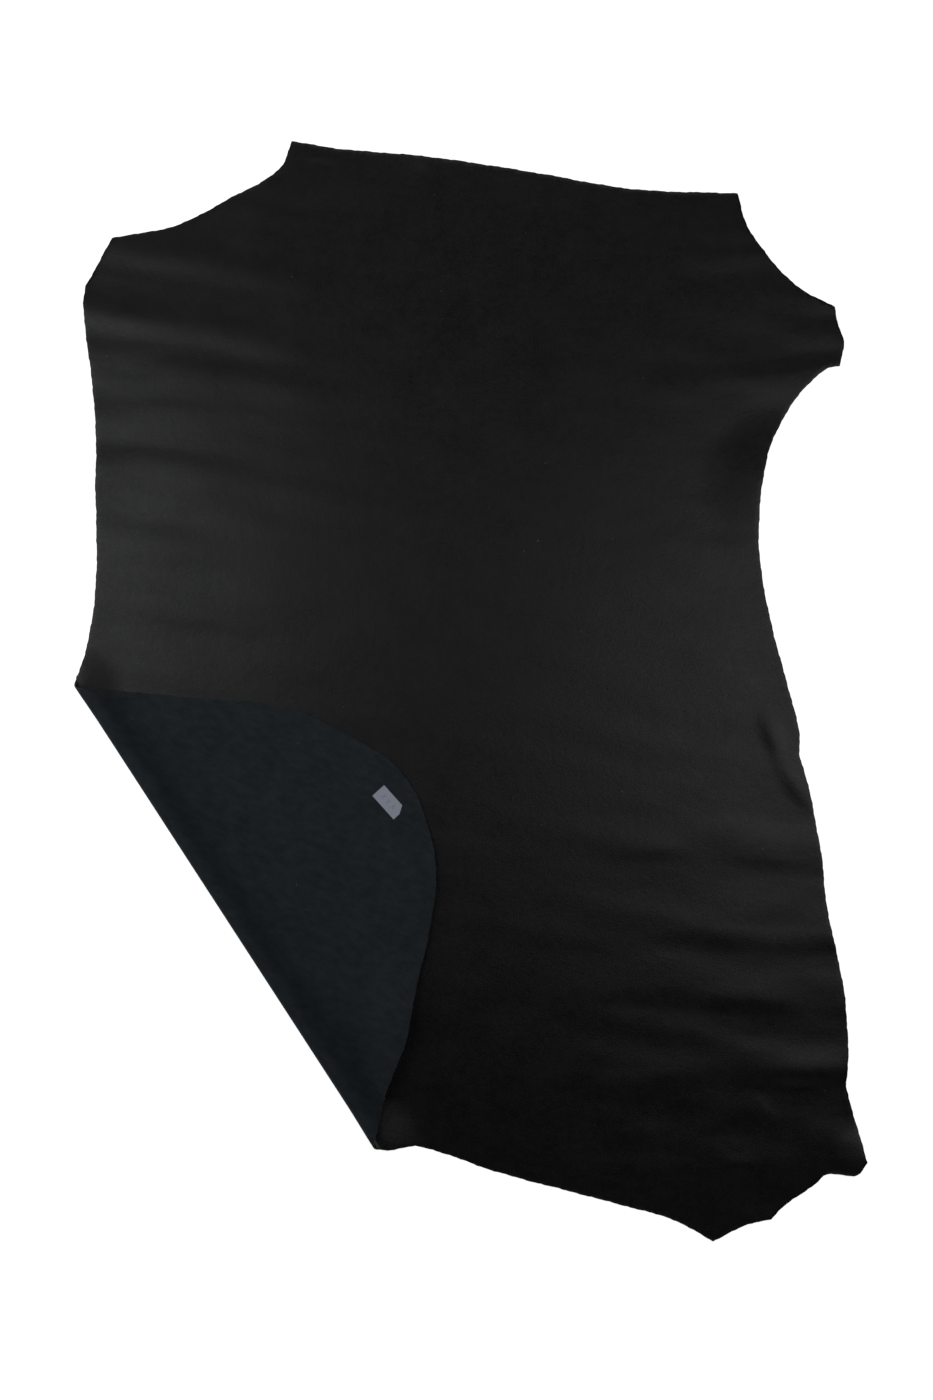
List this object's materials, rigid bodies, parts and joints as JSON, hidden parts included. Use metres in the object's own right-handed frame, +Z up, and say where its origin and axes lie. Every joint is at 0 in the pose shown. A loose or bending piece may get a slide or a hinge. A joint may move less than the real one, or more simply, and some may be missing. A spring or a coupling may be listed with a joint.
{
  "type": "leather hide",
  "caption": "Whole black calf skin lying grain side up, one hind corner folded over to show the suede flesh side with a small paper sticker.",
  "frame": {"origin": "centre of the underside's bounding box, on the surface that the skin lies on", "axes": "+Z up, grain side up; +Y towards the neck; +X towards the corner that isn't folded"},
  "size_m": [0.9962, 1.386, 0.0214],
  "materials": {
    "leather": "drum-dyed black calf: smooth low-sheen full grain on one side, blue-black suede on the flesh side",
    "paper": "uncoated white sticker paper"
  },
  "bodies": {
    "root": {"hide": "leather", "label": "paper"}
  },
  "joints": []
}
